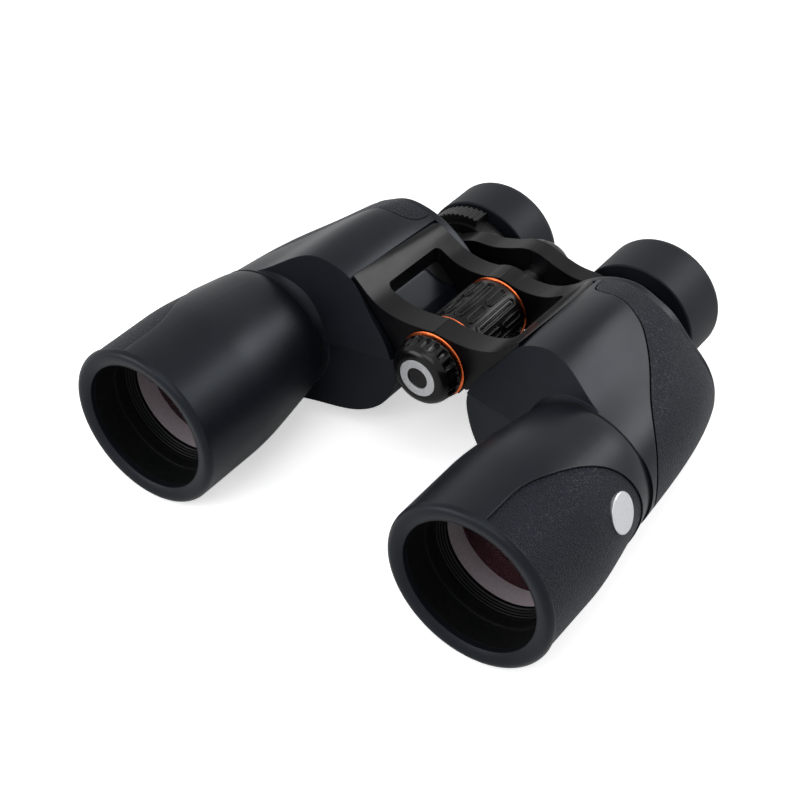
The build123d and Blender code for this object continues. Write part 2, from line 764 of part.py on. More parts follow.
# ---------------------------------------------------------------- Porro prisms
def prism(from_x, from_z, to_x, to_z, base, direction):
    """Right-angle prism that carries the light from one axis to the next; its ridge points along direction."""
    across = Vector(to_x - from_x, 0, to_z - from_z).normalized()
    side = across.cross(Vector(0, 1, 0))
    centre = Vector((from_x + to_x) / 2, rim_y + base, (from_z + to_z) / 2)
    with BuildPart() as glass:
        with BuildSketch(Plane(origin=centre - side * (prism_width / 2), x_dir=across, z_dir=side)) as profile:
            with BuildLine():
                up = direction if profile.workplanes[0].y_dir.Y > 0 else -direction
                Polyline((-axis_step + 0.8, 0), (axis_step - 0.8, 0), (axis_step - 0.8, up * 0.9),
                         (1.2, up * prism_height), (-1.2, up * prism_height),
                         (-axis_step + 0.8, up * 0.9), close=True)
            make_face()
        extrude(amount=prism_width)
    return glass


keep_pair(prism(objective_x, objective_z, middle_x, middle_z, rear_base, 1), "rear_prism")
keep_pair(prism(middle_x, middle_z, eyepiece_x, eyepiece_z, front_base, -1), "front_prism")

# shelf across the housing that carries both prisms, with holes for the three stretches of light
with BuildPart() as shelf:
    with BuildSketch(station(front_base)):
        with BuildLine():
            Spline(*section_points(housing_sections[1], armour + housing_wall + 2.2), periodic=True)
        make_face()
        for x, z in ((objective_x, objective_z), (middle_x, middle_z), (eyepiece_x, eyepiece_z)):
            with Locations((x, z)):
                Circle(prism_width / 2 - 1.0, mode=Mode.SUBTRACT)
    extrude(amount=-(rear_base - front_base))
    add(cavity.part, mode=Mode.INTERSECT)
keep_pair(shelf, "prism_shelf")

# two bent spring clips hold the prisms down on the shelf
with BuildPart() as clips:
    for base, direction, ax, az, bx, bz in (
            (rear_base, 1, objective_x, objective_z, middle_x, middle_z),
            (front_base, -1, middle_x, middle_z, eyepiece_x, eyepiece_z)):
        ridge = rim_y + base + direction * prism_height
        along = Vector(bx - ax, 0, bz - az).normalized().cross(Vector(0, 1, 0))
        centre = Vector((ax + bx) / 2, ridge, (az + bz) / 2)
        strap_plane = Plane(origin=centre, x_dir=along, z_dir=(0, direction, 0))
        with BuildSketch(strap_plane):
            Rectangle(prism_width + 1.6, 2.2)
        extrude(amount=0.6)
        for end in (-1, 1):
            leg = Plane(origin=centre + along * (end * (prism_width / 2 + 0.4)), x_dir=along,
                        z_dir=(0, -direction, 0))
            with BuildSketch(leg):
                Rectangle(0.8, 2.2)
            extrude(amount=prism_height)
keep_pair(clips, "prism_clips")

# ---------------------------------------------------------------- hinge axle
axle_rear = arm_rear + 4.2
shaft_room = shaft_front - focus_travel - 2     # bottom of the hole that the focus shaft slides in
with BuildPart() as axle:
    with BuildSketch(half_section(0, hinge_z)):
        with BuildLine():
            Polyline((nose_front, socket_radius), (nose_front, nose_radius - 0.6), (nose_front + 0.6, nose_radius),
                     (arm_front - clear, nose_radius), (arm_front - clear, axle_radius), (axle_rear, axle_radius),
                     (axle_rear, axle_bore), (shaft_room, axle_bore), (shaft_room, 0),
                     (nose_front + socket_depth, 0),
                     (nose_front + socket_depth, socket_radius), close=True)
        make_face()
    revolve(axis=axis_at(0, hinge_z))
keep(axle, "hinge_axle")

with BuildPart() as hinge_bushes:
    for front, rear in ((front_lap + lap_gap, wheel_gap_front), (rear_lap + lap_gap, arm_rear)):
        with BuildSketch(station(front)):
            with Locations((0, hinge_z)):
                Circle(bush_radius)
                Circle(axle_radius + running_fit, mode=Mode.SUBTRACT)
        extrude(amount=-(rear - front))
keep(hinge_bushes, "hinge_bushes")

with BuildPart() as axle_nut:
    with BuildSketch(station(arm_rear + clear)):
        with Locations((0, hinge_z)):
            RegularPolygon(lap_radius - 0.6, 6)
            Circle(axle_radius, mode=Mode.SUBTRACT)
    extrude(amount=-(axle_rear - arm_rear - clear - 0.5))
keep(axle_nut, "axle_nut")

# ---------------------------------------------------------------- focus wheel
wheel_bore = axle_radius + running_fit
rib_count = 18
rib_length = 15.0
rib_shift = 4.0
wheel_middle = (wheel_front + wheel_rear) / 2
edge_radius = ring_radius - 0.5
with BuildPart() as wheel:
    with BuildSketch(half_section(0, hinge_z)):
        with BuildLine():
            front_edge = (wheel_front + 1.2, edge_radius)
            rear_edge = (wheel_rear - 1.2, edge_radius)
            Polyline((wheel_front, wheel_bore), (wheel_front, edge_radius - 0.6), front_edge)
            ThreePointArc(front_edge, (wheel_middle, wheel_radius), rear_edge)
            Polyline(rear_edge, (wheel_rear, edge_radius - 0.6), (wheel_rear, wheel_bore),
                     (wheel_front, wheel_bore))
        make_face()
    revolve(axis=axis_at(0, hinge_z))
    for i in range(rib_count):
        turn = 2 * pi * i / rib_count
        out = Plane(origin=(0, rim_y + wheel_middle, hinge_z), x_dir=(0, 1, 0), z_dir=(cos(turn), 0, sin(turn)))
        with BuildSketch(out.offset(wheel_radius - 0.5)):
            with Locations(((-1) ** i * rib_shift, 0)):
                SlotOverall(rib_length, 1.5)
        extrude(amount=2, mode=Mode.SUBTRACT)
keep(wheel, "focus_wheel")

with BuildPart() as wheel_rings:
    for front in (wheel_front - ring_thickness, wheel_rear):
        with BuildSketch(station(front)):
            with Locations((0, hinge_z)):
                Circle(ring_radius)
                Circle(ring_radius - ring_width, mode=Mode.SUBTRACT)
        extrude(amount=-ring_thickness)
keep(wheel_rings, "wheel_rings")

# ---------------------------------------------------------------- tripod socket cap
cap_ring_radius = cap_radius + cap_ring_overhang
keep(turned(0, hinge_z, [(cap_ring_front, nose_radius), (arm_front - clear, nose_radius),
                         (arm_front - clear, cap_ring_radius), (cap_ring_front, cap_ring_radius)]), "cap_ring")
keep(turned(0, hinge_z, [(washer_front, nose_radius + running_fit), (washer_rear, nose_radius + running_fit),
                         (washer_rear, cap_radius - 2.0), (washer_front, cap_radius - 2.0)]), "cap_washer")

flute_count = 20
cap_floor = nose_front - 1.4
with BuildPart() as cap:
    with BuildSketch(half_section(0, hinge_z)):
        with BuildLine():
            face_edge = (cap_front, badge_ring_radius + 1.6)
            shoulder = (cap_front + 2.2, cap_radius - 1.5)
            Polyline((cap_front + badge_depth, 0), (cap_front + badge_depth, badge_ring_radius),
                     (cap_front, badge_ring_radius), face_edge)
            ThreePointArc(face_edge, (cap_front + 0.7, cap_radius - 2.5), shoulder)
            Polyline(shoulder, (cap_rear - 1, cap_radius), (cap_rear, cap_radius),
                     (cap_rear, nose_radius + running_fit), (cap_floor, nose_radius + running_fit),
                     (cap_floor, 0), (cap_front + badge_depth, 0))
        make_face()
    revolve(axis=axis_at(0, hinge_z))
    with BuildSketch(station(cap_front + 2.6)):
        with Locations((0, hinge_z)):
            with PolarLocations(cap_radius + 0.3, flute_count):
                Circle(1.15)
    extrude(amount=-(cap_length - 3.6), mode=Mode.SUBTRACT)
keep(cap, "tripod_cap")
keep(turned(0, hinge_z, [(cap_front + 0.1, badge_ring_radius), (cap_front + 0.1, badge_hole_radius),
                         (cap_front + badge_depth, badge_hole_radius),
                         (cap_front + badge_depth, badge_ring_radius)]), "cap_badge")

# ---------------------------------------------------------------- eyepiece bridge
keep(turned(0, hinge_z, [(shaft_front, 0), (shaft_front, shaft_radius), (shaft_end, shaft_radius),
                         (shaft_end, 0)]), "focus_shaft")
ring_room = shaft_end + 0.5
bridge_middle = (bridge_front + ring_room) / 2
with BuildPart() as bridge_half:
    dome = [(bridge_rear + dome_length * along, bridge_radius * share)
            for along, share in ((0, 0.97), (0.39, 0.876), (0.71, 0.715), (0.91, 0.474), (1, 0))]
    add(knuckle_shell([(bridge_front, 0), (bridge_front, bridge_radius), *dome]).part)
    with BuildSketch(station(bridge_front)):
        with BuildLine():
            Spline((clear / 2, hinge_z + 13.8), (5.8, hinge_z + 12.7), (9.5, hinge_z + 11.2),
                   (13.5, hinge_z + 9.9), (17.2, hinge_z + 8.9), (21.3, hinge_z + 8.5), (27, hinge_z + 8.1),
                   (32, hinge_z + 6.2), (eyepiece_x, eyepiece_z + collar_radius))
            Polyline((eyepiece_x, eyepiece_z + collar_radius), (eyepiece_x, eyepiece_z), (22, hinge_z - 21),
                     (12, hinge_z + 12 * tan(shell_low)), (clear / 2, hinge_z), (clear / 2, hinge_z + 13.8))
        make_face()
        with Locations((eyepiece_x, eyepiece_z)):
            Circle(collar_radius)
    extrude(amount=-bridge_thickness)
    with BuildSketch(station(bridge_front)):
        with Locations((0, hinge_z)):
            Circle(shaft_ring_radius + clear)
    extrude(amount=-(ring_room - bridge_front), mode=Mode.SUBTRACT)
    with BuildSketch(station(bridge_front)):
        with Locations((eyepiece_x, eyepiece_z)):
            Circle(tube_radius)
    extrude(amount=-20, mode=Mode.SUBTRACT)

# the right half carries the shaft, the left half turns on it
left_arm = with_laps(bridge_half, ((bridge_middle + lap_gap, shaft_end),), shaft_ring_radius,
                     shaft_radius + running_fit)
keep(left_arm, "left_eyepiece_arm")
right_arm_master = with_laps(bridge_half, ((bridge_front, bridge_middle - lap_gap),), shaft_ring_radius,
                             shaft_radius)
with BuildPart() as right_arm:
    mirror(right_arm_master.part, about=Plane.YZ)
keep(right_arm, "right_eyepiece_arm")

# ---------------------------------------------------------------- eyepieces
keep_pair(turned(eyepiece_x, eyepiece_z, [(tube_front, tube_bore), (tube_front, tube_radius),
                                          (tube_rear, tube_radius), (tube_rear, tube_bore)]), "eyepiece_tube")


def eyepiece(side, cup_front, x):
    """Optics barrel, two lenses, twist sleeve and rubber eyecup of one eyepiece."""
    barrel_outer = tube_bore - running_fit
    field_front = tube_front + 12.6
    head_front = cup_front + 0.4
    head_rear = overall_length - 6.0
    lens_seat = head_rear - 6.5
    keep(turned(x, eyepiece_z, [
        (field_front, barrel_outer - 1.4), (field_front, barrel_outer), (head_front, barrel_outer),
        (head_front, head_radius), (head_rear, head_radius), (head_rear, eye_lens_radius + 1.5),
        (lens_seat + 5.0, eye_lens_radius), (lens_seat, eye_lens_radius), (lens_seat, barrel_outer - 2.4),
        (head_front, barrel_outer - 1.4)]), side + "_eyepiece_barrel")
    keep(lens(x, eyepiece_z, barrel_outer - 1.4, field_front + 1.0, 0.8, field_front + 4.0, 1.2),
         side + "_field_lens")
    keep(lens(x, eyepiece_z, eye_lens_radius, lens_seat + 0.3, 1.0, lens_seat + 3.4, 1.2), side + "_eye_lens")
    sleeve_inner = head_radius + running_fit
    sleeve_outer = sleeve_inner + sleeve_wall
    keep(turned(x, eyepiece_z, [(cup_front + 0.2, sleeve_inner), (cup_front + 0.2, sleeve_outer),
                                (head_rear - 1.0, sleeve_outer), (head_rear - 1.0, sleeve_inner)]),
         side + "_eyecup_sleeve")
    cup_inner = sleeve_outer + running_fit
    with BuildPart() as cup:
        with BuildSketch(half_section(x, eyepiece_z)):
            with BuildLine():
                Polyline((cup_front, cup_inner), (cup_front, eyecup_radius - 0.5),
                         (cup_front + 0.5, eyecup_radius))
                Line((cup_front + 0.5, eyecup_radius), (overall_length - 4.4, eyecup_radius))
                ThreePointArc((overall_length - 4.4, eyecup_radius), (overall_length - 1.2, eyecup_radius - 1.3),
                              (overall_length, eyecup_radius - 4.0))
                ThreePointArc((overall_length, eyecup_radius - 4.0), (overall_length - 0.9, eyecup_radius - 5.6),
                              (overall_length - 3.0, eyecup_radius - 6.8))
                Polyline((overall_length - 3.0, eyecup_radius - 6.8), (head_rear + 1.6, eye_lens_radius + 3.0),
                         (head_rear + 0.4, eye_lens_radius + 3.0), (head_rear + 0.4, cup_inner),
                         (cup_front, cup_inner))
            make_face()
        revolve(axis=axis_at(x, eyepiece_z))
    keep(cup, side + "_eyecup")


eyepiece("left", left_cup_front, eyepiece_x)
eyepiece("right", right_cup_front, -eyepiece_x)

# diopter ring on the right eyepiece: a plain ring with one raised, knurled thumb grip on its upper outer side
diopter_grip_radius = diopter_radius + diopter_grip_height
grip_front = diopter_front + 1.1
grip_start = radians(80.0)
grip_end = radians(165.0)
grip_foot = diopter_radius - 1.0
knurl_count = 15
with BuildPart() as diopter_ring:
    with BuildSketch(station(diopter_front)):
        with Locations((-eyepiece_x, eyepiece_z)):
            Circle(diopter_radius)
            Circle(tube_bore + 0.4, mode=Mode.SUBTRACT)
    extrude(amount=-diopter_length)
    with BuildSketch(station(grip_front)):
        with BuildLine():
            corners = []
            for radius in (grip_foot, diopter_grip_radius):
                bow = []
                for angle in (grip_start, (grip_start + grip_end) / 2, grip_end):
                    bow.append((radius * cos(angle) - eyepiece_x, radius * sin(angle) + eyepiece_z))
                ThreePointArc(*bow)
                corners.append(bow)
            Line(corners[0][0], corners[1][0])
            Line(corners[0][2], corners[1][2])
        make_face()
    extrude(amount=-(diopter_rear - grip_front))
    with BuildSketch(station(grip_front - 0.5)):
        for i in range(knurl_count):
            angle = grip_start + (grip_end - grip_start) * (i + 0.5) / knurl_count
            with Locations((diopter_grip_radius * cos(angle) - eyepiece_x,
                            diopter_grip_radius * sin(angle) + eyepiece_z)):
                Circle(0.65)
    extrude(amount=-20, mode=Mode.SUBTRACT)
keep(diopter_ring, "diopter_ring")
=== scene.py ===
"""Astronomy binoculars lying on a pale table, both halves spread: finishes, fine parts, light and camera."""
from math import atan2, pi, radians

import bpy
from mathutils import Matrix, Vector


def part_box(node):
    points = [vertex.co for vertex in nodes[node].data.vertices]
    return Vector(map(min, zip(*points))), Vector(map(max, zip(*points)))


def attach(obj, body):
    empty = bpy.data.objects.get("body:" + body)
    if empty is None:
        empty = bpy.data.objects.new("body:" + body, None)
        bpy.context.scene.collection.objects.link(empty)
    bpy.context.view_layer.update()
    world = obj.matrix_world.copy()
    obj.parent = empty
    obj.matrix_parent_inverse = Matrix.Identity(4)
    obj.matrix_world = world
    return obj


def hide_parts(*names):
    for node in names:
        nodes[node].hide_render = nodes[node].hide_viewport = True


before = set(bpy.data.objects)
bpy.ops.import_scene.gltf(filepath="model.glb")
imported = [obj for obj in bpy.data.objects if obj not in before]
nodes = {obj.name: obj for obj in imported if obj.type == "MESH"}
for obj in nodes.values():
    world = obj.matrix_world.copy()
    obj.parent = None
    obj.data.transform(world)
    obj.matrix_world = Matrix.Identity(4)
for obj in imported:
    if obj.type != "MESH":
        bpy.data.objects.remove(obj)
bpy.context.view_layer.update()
mm = 0.001


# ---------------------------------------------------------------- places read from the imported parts
halves = ("left", "right")


def middle_of(node):
    """Centre of a CAD node's box."""
    low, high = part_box(node)
    return (low + high) / 2


# ---------------------------------------------------------------- camera
scene = bpy.context.scene
camera = bpy.data.cameras.new("camera")
camera.sensor_width = 36.0
camera.lens = 75.49
camera_place = Vector((0.2846, -0.4128, 0.41905))
across = Vector((0.80856, 0.58808, -0.01972))
upward = Vector((-0.35657, 0.51636, 0.77861))
backward = Vector((0.46806, -0.62252, 0.62720))
turn = Matrix((across, upward, backward)).transposed().to_4x4()
camera_object = bpy.data.objects.new("camera", camera)
camera_object.matrix_world = Matrix.Translation(camera_place) @ turn
scene.collection.objects.link(camera_object)
scene.camera = camera_object
scene.view_settings.view_transform = "Standard"


# ---------------------------------------------------------------- finishes
def linear(code):
    """Linear RGBA from an sRGB hex colour."""
    shares = [int(code[i:i + 2], 16) / 255 for i in (1, 3, 5)]
    return [c / 12.92 if c <= 0.04045 else ((c + 0.055) / 1.055) ** 2.4 for c in shares] + [1.0]


def add_node(tree, kind, settings, sockets):
    """A shader node with its settings, each socket set to a value or linked to another node's output."""
    node = tree.nodes.new(kind)
    for name, value in settings.items():
        setattr(node, name, value)
    for name, value in sockets.items():
        if isinstance(value, bpy.types.NodeSocket):
            tree.links.new(value, node.inputs[name])
        else:
            node.inputs[name].default_value = value
    return node


def new_finish(name):
    """An empty material: its tree, its Principled shader and Object coordinates."""
    material = bpy.data.materials.new(name)
    material.use_nodes = True
    tree = material.node_tree
    shader = tree.nodes["Principled BSDF"]
    place = add_node(tree, "ShaderNodeTexCoord", {}, {}).outputs["Object"]
    return material, tree, shader, place


def set_shader(shader, **values):
    for name, value in values.items():
        shader.inputs[name.replace("_", " ")].default_value = value


def speckle(tree, place, size, detail=3.0):
    """Noise whose grains are about size millimetres across."""
    sockets = {"Vector": place, "Scale": 1 / (size * mm), "Detail": detail, "Roughness": 0.6}
    return add_node(tree, "ShaderNodeTexNoise", {}, sockets).outputs["Fac"]


def two_tone(tree, factor, low, high, start, end):
    """Colour that goes from one hex shade to another as factor goes from start to end."""
    ramp = add_node(tree, "ShaderNodeValToRGB", {}, {"Fac": factor})
    ramp.color_ramp.elements[0].position = start
    ramp.color_ramp.elements[0].color = linear(low)
    ramp.color_ramp.elements[1].position = end
    ramp.color_ramp.elements[1].color = linear(high)
    return ramp.outputs["Color"]


def span(tree, factor, low, high):
    """Factor of 0 to 1 stretched between two values."""
    sockets = {"Value": factor, "To Min": low, "To Max": high}
    return add_node(tree, "ShaderNodeMapRange", {}, sockets).outputs["Result"]


def rounded(tree, radius):
    """Normal that lets a sharp edge catch the light as if it had this radius in millimetres."""
    return add_node(tree, "ShaderNodeBevel", {"samples": 6}, {"Radius": radius * mm}).outputs["Normal"]


def relief(tree, height, depth, strength=1.0, edge=0.25):
    """Surface relief from a height pattern of 0 to 1, depth in millimetres, over softly rounded edges."""
    sockets = {"Height": height, "Distance": depth * mm, "Strength": strength, "Normal": rounded(tree, edge)}
    return add_node(tree, "ShaderNodeBump", {}, sockets).outputs["Normal"]


def soft_rubber(name, dark, light, gloss, grain, shine):
    """Moulded soft-touch rubber: satin, almost black with a cool cast, fine grain, faint handling marks."""
    material, tree, shader, place = new_finish(name)
    marks = speckle(tree, place, 18.0, 2.0)
    fine = speckle(tree, place, grain)
    tree.links.new(two_tone(tree, marks, dark, light, 0.35, 0.7), shader.inputs["Base Color"])
    tree.links.new(span(tree, marks, gloss - 0.04, gloss + 0.05), shader.inputs["Roughness"])
    tree.links.new(relief(tree, fine, 0.03, 0.4, 0.45), shader.inputs["Normal"])
    set_shader(shader, IOR=1.5, Specular_IOR_Level=shine, Specular_Tint=linear("#ecf4ff"))
    return material


armour_rubber = soft_rubber("moulded_soft_rubber", "#0b0e13", "#0f1218", gloss=0.36, grain=0.5, shine=0.17)
eyecup_rubber = soft_rubber("moulded_eyecup_rubber", "#101116", "#15161b", gloss=0.5, grain=0.4, shine=0.16)


def pebbled_rubber():
    """Textured grip rubber: round grit stands up from the ground and breaks up the shine; painted shade
    darkens the ground between the grit and painted highlight lightens the grit tops.
    """
    material, tree, shader, place = new_finish("pebbled_grip_rubber_painted_shade")
    grain = 0.7 * mm
    grit = add_node(tree, "ShaderNodeTexVoronoi", {"feature": "SMOOTH_F1"},
                    {"Vector": place, "Scale": 1 / grain, "Smoothness": 0.4}).outputs["Distance"]
    fine = speckle(tree, place, 0.6, 4.0)
    both = add_node(tree, "ShaderNodeMath", {"operation": "SUBTRACT"}, {0: fine, 1: grit}).outputs[0]
    raised = add_node(tree, "ShaderNodeMapRange", {}, {"Value": both, "From Min": -0.15, "From Max": 0.35})
    raised = raised.outputs["Result"]
    # painted shade and highlight: the colour follows the grit's height, dark in the hollows, light on the
    # raised tops
    tree.links.new(two_tone(tree, raised, "#07090d", "#1b1e27", 0.25, 0.85), shader.inputs["Base Color"])
    tree.links.new(span(tree, fine, 0.35, 0.65), shader.inputs["Roughness"])
    tree.links.new(relief(tree, raised, 0.35, 0.9), shader.inputs["Normal"])
    set_shader(shader, Specular_IOR_Level=0.19, Specular_Tint=linear("#dfe8ff"))
    return material


grip_rubber = pebbled_rubber()


def painted_metal(name, dark, light, gloss, grain, shine):
    """Sprayed paint on cast aluminium: even colour with the fine orange peel of the spray."""
    material, tree, shader, place = new_finish(name)
    cloud = speckle(tree, place, 9.0, 2.0)
    peel = speckle(tree, place, grain, 1.0)
    tree.links.new(two_tone(tree, cloud, dark, light, 0.3, 0.7), shader.inputs["Base Color"])
    tree.links.new(span(tree, cloud, gloss - 0.04, gloss + 0.05), shader.inputs["Roughness"])
    tree.links.new(relief(tree, peel, 0.02, 0.5, 0.4), shader.inputs["Normal"])
    set_shader(shader, Specular_IOR_Level=shine)
    return material


satin_paint = painted_metal("satin_sprayed_paint", "#060608", "#09090b", gloss=0.31, grain=0.6, shine=0.15)
flat_paint = painted_metal("flat_black_paint", "#070708", "#0a0a0b", gloss=0.6, grain=0.4, shine=0.15)


def matt_anodising():
    """Matt black anodised bore: soaks up stray light, with the faint mottle of the dye."""
    material, tree, shader, place = new_finish("matt_black_anodising")
    mottle = speckle(tree, place, 1.6, 3.0)
    tree.links.new(two_tone(tree, mottle, "#070808", "#0f1010", 0.3, 0.7), shader.inputs["Base Color"])
    tree.links.new(span(tree, mottle, 0.35, 0.5), shader.inputs["Roughness"])
    tree.links.new(relief(tree, mottle, 0.02, 0.4), shader.inputs["Normal"])
    set_shader(shader, Specular_IOR_Level=0.12)
    return material


baffle = matt_anodising()


def cut_thread():
    """Cut and dyed thread: almost black, its tone and gloss varying a little at random."""
    material, tree, shader, place = new_finish("dyed_cut_thread")
    worn = speckle(tree, place, 2.0, 3.0)
    tree.links.new(two_tone(tree, worn, "#030304", "#070708", 0.3, 0.7), shader.inputs["Base Color"])
    tree.links.new(span(tree, worn, 0.35, 0.5), shader.inputs["Roughness"])
    set_shader(shader, Specular_IOR_Level=0.1)
    return material


thread_black = cut_thread()


def gloss_plastic(name, gloss, shine):
    """Polished or moulded black plastic: deep black with a clear sheen and a faint haze."""
    material, tree, shader, place = new_finish(name)
    haze = speckle(tree, place, 3.0, 4.0)
    tree.links.new(two_tone(tree, haze, "#060607", "#0a0a0b", 0.3, 0.7), shader.inputs["Base Color"])
    tree.links.new(span(tree, haze, gloss - 0.04, gloss + 0.04), shader.inputs["Roughness"])
    tree.links.new(rounded(tree, 0.2), shader.inputs["Normal"])
    set_shader(shader, IOR=1.5, Specular_IOR_Level=shine)
    return material


gloss_black = gloss_plastic("polished_black_abs", gloss=0.2, shine=0.22)
wheel_black = gloss_plastic("moulded_wheel_plastic", gloss=0.27, shine=0.16)


def moulded_plastic():
    """Spark-eroded black ABS: dull with a very fine grain."""
    material, tree, shader, place = new_finish("grained_black_abs")
    fine = speckle(tree, place, 0.35)
    tree.links.new(two_tone(tree, fine, "#070708", "#0e0f11", 0.3, 0.75), shader.inputs["Base Color"])
    tree.links.new(relief(tree, fine, 0.03, 0.7), shader.inputs["Normal"])
    set_shader(shader, Roughness=0.4, Specular_IOR_Level=0.24)
    return material


black_plastic = moulded_plastic()


def metal(name, dark, light, gloss, line):
    """Turned or brushed metal: bright, with fine tool lines, line millimetres long, round its axis."""
    material, tree, shader, place = new_finish(name)
    stretched = add_node(tree, "ShaderNodeMapping", {}, {"Vector": place, "Scale": (1.0, 12.0, 1.0)})
    marks = speckle(tree, stretched.outputs["Vector"], line, 2.0)
    tree.links.new(two_tone(tree, marks, dark, light, 0.3, 0.7), shader.inputs["Base Color"])
    tree.links.new(span(tree, marks, gloss - 0.06, gloss + 0.08), shader.inputs["Roughness"])
    tree.links.new(rounded(tree, 0.2), shader.inputs["Normal"])
    set_shader(shader, Metallic=1.0)
    return material


copper = metal("orange_anodised_aluminium", "#d8622f", "#e8794a", gloss=0.27, line=2.0)
steel = metal("turned_steel", "#8f9092", "#b4b5b7", gloss=0.3, line=1.5)
brass = metal("turned_brass", "#a8843f", "#c9a45a", gloss=0.3, line=1.5)
silver = metal("brushed_silver_plate", "#b9babd", "#d2d3d6", gloss=0.3, line=1.2)


def glass(name, dark, light, cover, gloss, index):
    """Polished optical glass: clear, or dark where its coating takes the light, with the coating's tint."""
    material, tree, shader, place = new_finish(name)
    film = speckle(tree, place, 14.0, 1.0)
    tree.links.new(two_tone(tree, film, dark, light, 0.4, 0.6), shader.inputs["Base Color"])
    set_shader(shader, Alpha=cover, Roughness=gloss, IOR=index)
    material.surface_render_method = "BLENDED"
    return material


front_coating = glass("coated_front_glass", "#2a1a20", "#301d25", cover=0.12, gloss=0.03, index=1.25)
red_coating = glass("red_coated_back_glass", "#261013", "#31161a", cover=0.9, gloss=0.12, index=1.3)
eye_glass = glass("coated_eye_lens_glass", "#100b14", "#16101a", cover=0.92, gloss=0.04, index=1.35)
prism_glass = glass("polished_prism_glass", "#c9d2d6", "#d3dade", cover=0.25, gloss=0.02, index=1.5)


def ground_edge():
    """Ground lens edge: frosted glass that scatters the light, mauve from the coating in front of it."""
    material, tree, shader, place = new_finish("ground_glass_edge")
    frost = speckle(tree, place, 0.8, 3.0)
    tree.links.new(two_tone(tree, frost, "#958b91", "#a79da3", 0.3, 0.7), shader.inputs["Base Color"])
    tree.links.new(span(tree, frost, 0.5, 0.7), shader.inputs["Roughness"])
    set_shader(shader, Specular_IOR_Level=0.3)
    return material


frosted_edge = ground_edge()

finishes = {
    "barrel": baffle, "barrel_armour": armour_rubber, "barrel_grip": grip_rubber, "side_badge": silver,
    "objective_cell": baffle, "objective_retaining_ring": baffle,
    "objective_crown_lens": front_coating, "objective_flint_lens": red_coating,
    "housing": flat_paint, "housing_armour": armour_rubber, "housing_grip": grip_rubber,
    "rear_cover": armour_rubber, "cover_screws": steel,
    "rear_prism": prism_glass, "front_prism": prism_glass, "prism_shelf": flat_paint, "prism_clips": steel,
    "bridge_plate": satin_paint, "hinge_axle": steel, "hinge_bushes": brass, "axle_nut": steel,
    "focus_wheel": gloss_black, "wheel_rings": copper, "focus_shaft": steel,
    "cap_ring": copper, "cap_washer": black_plastic, "tripod_cap": gloss_black, "cap_badge": silver,
    "eyepiece_arm": satin_paint, "eyepiece_tube": flat_paint, "eyepiece_barrel": flat_paint,
    "diopter_ring": black_plastic, "field_lens": eye_glass, "eye_lens": eye_glass,
    "eyecup_sleeve": black_plastic, "eyecup": eyecup_rubber,
}
for name, node in nodes.items():
    kind = name.split("_", 1)[1] if name.split("_", 1)[0] in halves else name
    node.data.materials.clear()
    node.data.materials.append(finishes[kind])

# ---------------------------------------------------------------- fine pieces
def begin(name, primitive, **settings):
    """A new primitive, named, its place put in its mesh, opened for editing with all of it selected."""
    bpy.ops.object.select_all(action="DESELECT")
    primitive(**settings)
    piece = bpy.context.object
    piece.name = name
    piece.data.name = name
    bpy.ops.object.transform_apply(location=True, rotation=True, scale=True)
    bpy.ops.object.mode_set(mode="EDIT")
    bpy.ops.mesh.select_all(action="SELECT")
    return piece


def choose(piece, wanted):
    """Selects the vertices of the piece in edit mode whose place passes the test."""
    bpy.ops.mesh.select_all(action="DESELECT")
    bpy.ops.object.mode_set(mode="OBJECT")
    for vertex in piece.data.vertices:
        vertex.select = wanted(vertex.co)
    bpy.ops.object.mode_set(mode="EDIT")


def close_up(piece, edge_angle=35):
    """Ends the editing: seams merged, open ends closed, faces outwards, gentle curves shaded smooth."""
    bpy.ops.mesh.select_all(action="SELECT")
    bpy.ops.mesh.remove_doubles(threshold=0.000001)
    bpy.ops.mesh.select_all(action="DESELECT")
    bpy.ops.mesh.select_non_manifold()
    if any(vertex.select for vertex in selected_mesh(piece)):
        bpy.ops.mesh.edge_face_add()
    bpy.ops.mesh.select_all(action="SELECT")
    bpy.ops.mesh.normals_make_consistent(inside=False)
    bpy.ops.object.mode_set(mode="OBJECT")
    bpy.ops.object.shade_smooth_by_angle(angle=radians(edge_angle))
    return piece


def selected_mesh(piece):
    """The piece's vertices with their selection brought up to date."""
    piece.update_from_editmode()
    return piece.data.vertices


def turned(name, axis, profile, sides=96):
    """A ring carried from one (depth, radius) corner of its profile to the next, round a lengthwise axis."""
    depth, radius = profile[0]
    piece = begin(name, bpy.ops.mesh.primitive_circle_add, vertices=sides, radius=radius,
                  location=(axis.x, depth, axis.z), rotation=(pi / 2, 0, 0))
    for (here, wide), (there, wider) in zip(profile, profile[1:]):
        bpy.ops.mesh.extrude_region_move(TRANSFORM_OT_translate={"value": (0, there - here, 0)})
        spread = wider / wide
        bpy.ops.transform.resize(value=(spread, 1, spread), center_override=(axis.x, there, axis.z))
    return piece


def dress(piece, material, body):
    """Gives a finished piece its material and the body that it moves with."""
    piece.data.materials.append(material)
    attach(piece, body)
    return piece


def bowed(edge, radius, sag, steps=6):
    """Profile corners of a lens face from its rim, at depth edge, to its middle, sag behind the rim."""
    smallest = 0.2 * mm
    return [(edge + sag * (1 - share ** 2), max(radius * share, smallest))
            for share in (1 - i / steps for i in range(steps + 1))]


def joined(pieces):
    """One piece out of several; it keeps the name of the first."""
    bpy.ops.object.select_all(action="DESELECT")
    for piece in pieces:
        piece.select_set(True)
    bpy.context.view_layer.objects.active = pieces[0]
    bpy.ops.object.join()
    return pieces[0]


